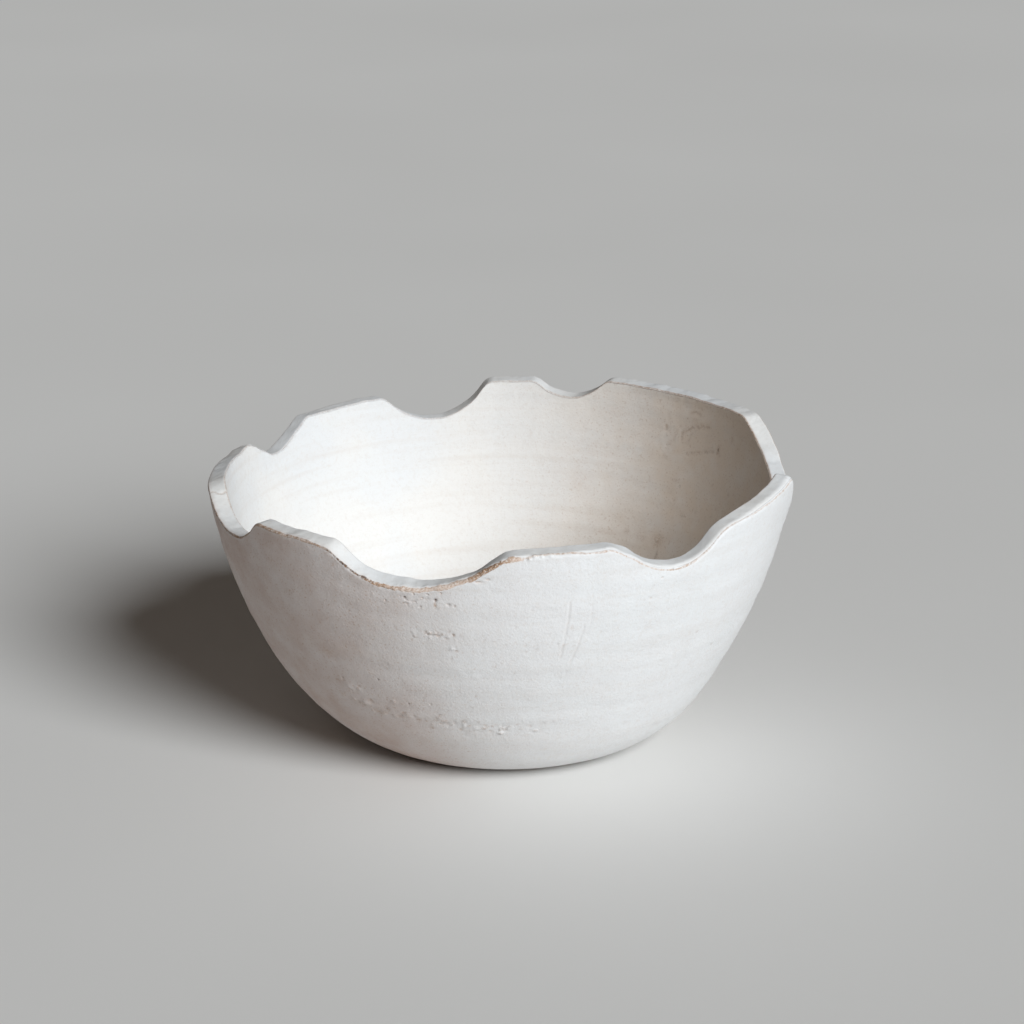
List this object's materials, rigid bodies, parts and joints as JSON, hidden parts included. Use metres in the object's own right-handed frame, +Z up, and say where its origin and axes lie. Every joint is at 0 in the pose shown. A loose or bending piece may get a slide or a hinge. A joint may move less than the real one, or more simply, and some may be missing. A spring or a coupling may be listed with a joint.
{
  "type": "punch bowl",
  "caption": "Round thick-walled pottery serving bowl with a hand-cut scalloped rim, coated inside and out with worn matte white slip over tan clay.",
  "frame": {"origin": "centre of the flat underside, on the axis that the bowl was thrown about, at the level of the surface it stands on", "axes": "+Z up along the axis of the wheel; -Y towards the lowest scoop of the rim; +X to its right, seen from -Y"},
  "size_m": [0.3062, 0.3106, 0.1545],
  "materials": {
    "fired_clay": "unglazed tan earthenware, fine grained, matte",
    "white_slip": "matte white slip, thin and slightly uneven, faint brown showing through, worn at the edges"
  },
  "bodies": {
    "root": {"clay_body": "fired_clay", "outer_slip": "white_slip", "inner_slip": "white_slip", "rim_slip": "white_slip"}
  },
  "joints": []
}
